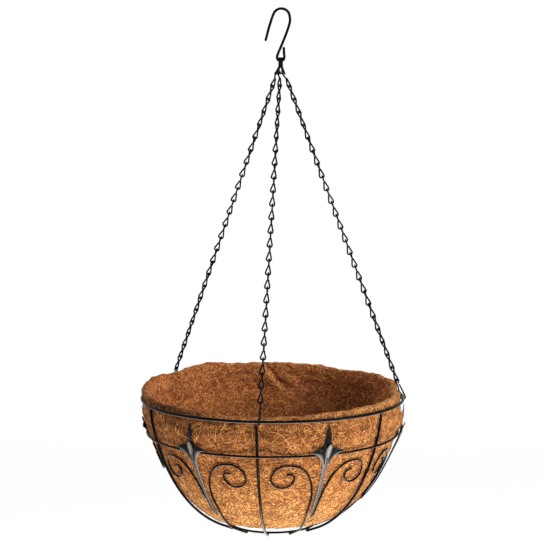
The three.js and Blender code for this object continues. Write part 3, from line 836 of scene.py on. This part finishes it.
def liner_tone(layers):
    """Red marks the inside, green painted shade, blue painted light."""
    count = len(layers)
    half = (count - 1) / 2
    azimuth = np.degrees(np.arctan2(layers[..., 0], -layers[..., 1]))
    z = layers[..., 2]
    inside = ease(np.arange(count), half - 2, half + 3)[:, None] * np.ones_like(z)
    # Painted shade inside: a patch low on the right, another further back, the fold's groove, the crease,
    # and darker with depth.
    inner_painted_shade = 0.74 * around_hump(azimuth, 134, 24) * hump(z, -34, 26)
    inner_painted_shade = inner_painted_shade + 0.3 * around_hump(azimuth, 160, 30) * hump(z, -62, 22)
    off = fold_line(azimuth, z)
    groove = hump(off, -1.9, 1.5) * fold_share(z)
    inner_painted_shade = inner_painted_shade + 0.6 * groove + 0.6 * crease(azimuth, z) + 0.17 * ease(-z, 12, 55)
    inner_painted_shade = np.clip(inner_painted_shade * inside, 0, 1)
    lip_shade = around_hump(azimuth, -54, 24) * ease(z, -3, 1) * (1 - ease(inside, 0.7, 1.0))
    upper_painted_shade = (1 - inside) * 0.37 * ease(z, -85, -25) * (1 - ease(z, -5, 2))  # painted shade on the outside, darker towards the rim
    upper_painted_shade = upper_painted_shade * (1 - around_hump(azimuth, 62, 32))
    # Painted light along the ridge of the flap's edge.
    ridge_painted_light = 0.8 * hump(off, 0.6, 1.1) * fold_share(z) * inside
    lit_lip = 0.75 * around_hump(azimuth, 55, 42) * ease(z, 1, 5) * hump(inside, 0.5, 0.9)
    lit_side = 0.7 * (1 - inside) * around_hump(azimuth, 62, 28) * hump(z, -75, 60)
    # Painted light: the outside lighter towards the bottom, plus the lit side, the ridge and the lip.
    pale = np.maximum((1 - inside) * ease(-z, 60, 165), lit_side) + ridge_painted_light + lit_lip
    shade = np.clip(inner_painted_shade + upper_painted_shade + lip_shade, 0, 1)
    return np.stack([inside, shade, pale, np.ones_like(z)], -1)


def liner_uv(layers):
    """Metres along and up the mat. Seams lie where neither face is seen from the front."""
    count = len(layers)
    run = np.concatenate([[0], np.cumsum(np.linalg.norm(np.diff(layers[:, 0], axis=0), axis=1))])
    step = 2 * math.pi * 140.0 / AROUND
    corners = []
    for i in range(count - 1):
        is_floor = i < FLOOR_ROWS or i >= count - 1 - FLOOR_ROWS
        for k in range(AROUND):
            ring = [(i, k), (i, k + 1), (i + 1, k + 1), (i + 1, k)]
            if is_floor:
                corners += [tuple(layers[a, b % AROUND, :2]) for a, b in ring]
                continue
            shift = 0
            if i >= count // 2:
                shift = AROUND // 2 - (AROUND if k >= AROUND // 2 else 0)
            corners += [((b + shift) * step, run[a]) for a, b in ring]
    return corners


def add_liner():
    """The coir bowl, with its mat coordinates and tones. Returns its rings of points."""
    layers = liner_layers()
    count = len(layers)
    faces = [(i * AROUND + k, i * AROUND + (k + 1) % AROUND,
              (i + 1) * AROUND + (k + 1) % AROUND, (i + 1) * AROUND + k)
             for i in range(count - 1) for k in range(AROUND)]
    corners = liner_uv(layers)
    last = (count - 1) * AROUND
    middle = count * AROUND
    for k in range(AROUND):
        m = (k + 1) % AROUND
        faces += [(middle, m, k), (middle + 1, last + k, last + m)]
        corners += [(0, 0), tuple(layers[0, m, :2]), tuple(layers[0, k, :2]),
                    (0, 0), tuple(layers[-1, k, :2]), tuple(layers[-1, m, :2])]
    verts = np.vstack([layers.reshape(-1, 3), [layers[0].mean(0), layers[-1].mean(0)]])
    mesh = bpy.data.meshes.new("coir_bowl")
    mesh.from_pydata(((verts + TO_FRAME) * MM).tolist(), [], faces)
    mesh.uv_layers.new(name="coir").data.foreach_set("uv", (np.array(corners) * MM).ravel())
    tone = np.vstack([liner_tone(layers).reshape(-1, 4), [[0, 0, 1, 1], [1, 0, 0, 1]]])
    mesh.color_attributes.new("tone", "FLOAT_COLOR", "POINT").data.foreach_set("color", tone.ravel())
    mesh.flip_normals()
    mesh.shade_smooth()
    mesh.materials.append(COIR_MAT)
    obj = bpy.data.objects.new("coir_bowl", mesh)
    bpy.context.scene.collection.objects.link(obj)
    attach(obj, "liner")
    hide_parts("coir_liner")
    return layers


FIBRE_LENGTH, FIBRE_WIDTH, FIBRE_LIFT = (6, 22), (0.4, 0.85), (0.0, 0.7)  # least and most


def fibres(layers, count, name, rows, material, inwards):
    """Loose fibres that lie on one face of the mat, given by its range of rows."""
    normals = unit(np.cross(np.roll(layers, -1, 1) - np.roll(layers, 1, 1), np.gradient(layers, axis=0)))
    size = np.linalg.norm(layers[rows[0] : rows[1], 0, :2], axis=1)  # longer rings get more fibres
    parts = []
    u = np.linspace(-0.5, 0.5, 5)
    for _ in range(count):
        i = rows[0] + rng.choice(rows[1] - rows[0], p=size / size.sum())
        j = rng.integers(AROUND)
        p, n = layers[i, j], normals[i, j]
        towards = (n @ (p - np.array([0, 0, -40.0]))) * (-1 if inwards else 1)
        n = n if towards > 0 else -n
        t = unit(np.cross(n, rng.normal(size=3)))
        b = np.cross(n, t)
        near_edge = np.clip((i - rows[0]) / 10, 0.3, 1) * np.clip((rows[1] - i) / 10, 0.3, 1)
        length = rng.uniform(*FIBRE_LENGTH) * near_edge
        radius = max(np.linalg.norm(p[:2]), 60.0)
        level = (u * length) ** 2 / (2 * radius) * (1 if inwards else -1)
        lift = rng.uniform(*FIBRE_LIFT) * near_edge
        line = (p + np.outer(u * length, t) + np.outer(rng.normal(0, 0.5) * length * u * u, b)
                + np.outer(level + lift * (1 - 4.4 * u * u), n))
        parts.append(tube(line, rng.uniform(*FIBRE_WIDTH), 3, rounded=False))
    piece(name, merged(parts), material, "liner")


# ---- stage ----
FLOOR_Z, FLOOR_FRONT, FLOOR_BACK, FLOOR_HALF = -1.55, -6.0, 4.0, 9.0  # metres
SWEEP_R, SWEEP_TOP = 2.0, 7.0


def add_stage():
    """A pale floor that sweeps up into a backdrop, well under the hanging basket."""
    bm = bmesh.new()
    profile = [(FLOOR_FRONT, FLOOR_Z), (FLOOR_BACK, FLOOR_Z)]
    profile += [(FLOOR_BACK + SWEEP_R * math.sin(a), FLOOR_Z + SWEEP_R * (1 - math.cos(a)))
                for a in np.linspace(0.1, math.pi / 2, 12)]
    profile += [(FLOOR_BACK + SWEEP_R, SWEEP_TOP)]
    rows = [[bm.verts.new((x, y, z)) for x in (-FLOOR_HALF, FLOOR_HALF)] for y, z in profile]
    for a, b in zip(rows, rows[1:]):
        bm.faces.new((a[0], a[1], b[1], b[0]))
    mesh = bpy.data.meshes.new("sweep")
    bm.to_mesh(mesh)
    bm.free()
    mesh.shade_smooth()
    mat, _, bsdf = node_material("pale_floor")
    bsdf.inputs["Base Color"].default_value = (0.93, 0.93, 0.93, 1)
    bsdf.inputs["Roughness"].default_value = 0.9
    mesh.materials.append(mat)
    floor = bpy.data.objects.new("sweep", mesh)
    bpy.context.scene.collection.objects.link(floor)


def area_light(name, location, target, size, power):
    data = bpy.data.lights.new(name, "AREA")
    data.shape, data.size, data.energy = "DISK", size, power
    light = bpy.data.objects.new(name, data)
    light.location = location
    light.rotation_euler = (Vector(target) - Vector(location)).to_track_quat("-Z", "Y").to_euler()
    bpy.context.scene.collection.objects.link(light)


def add_lights():
    world = bpy.data.worlds.new("studio")
    world.use_nodes = True
    sky = world.node_tree.nodes["Background"]
    sky.inputs["Color"].default_value = (1, 1, 1, 1)
    sky.inputs["Strength"].default_value = 1.0
    bpy.context.scene.world = world
    bowl = (AXIS_X * MM, 0, (-HANG - 70) * MM)  # what the lights point at
    area_light("key", (2.0, -1.3, 0.1), bowl, 1.6, 74)
    area_light("low_front", (0.12, -0.75, -1.45), bowl, 0.24, 20)
    bpy.context.scene.view_settings.view_transform = "Standard"


add_frame()
add_spears()
piece("s_hook", tube(hook_path(), HOOK_WIRE, 16), HOOK_MAT, "hook", ["hook"], local=False)
for chain_index in range(3):
    add_chain(chain_index)
mat_layers = add_liner()
half_rows = len(mat_layers) // 2
fibres(mat_layers, 6500, "coir_fibres_outside", (6, half_rows - 4), FIBRE_OUT, False)
fibres(mat_layers, 5000, "coir_fibres_inside", (half_rows + 4, len(mat_layers) - 6), FIBRE_IN, True)
add_stage()
add_lights()
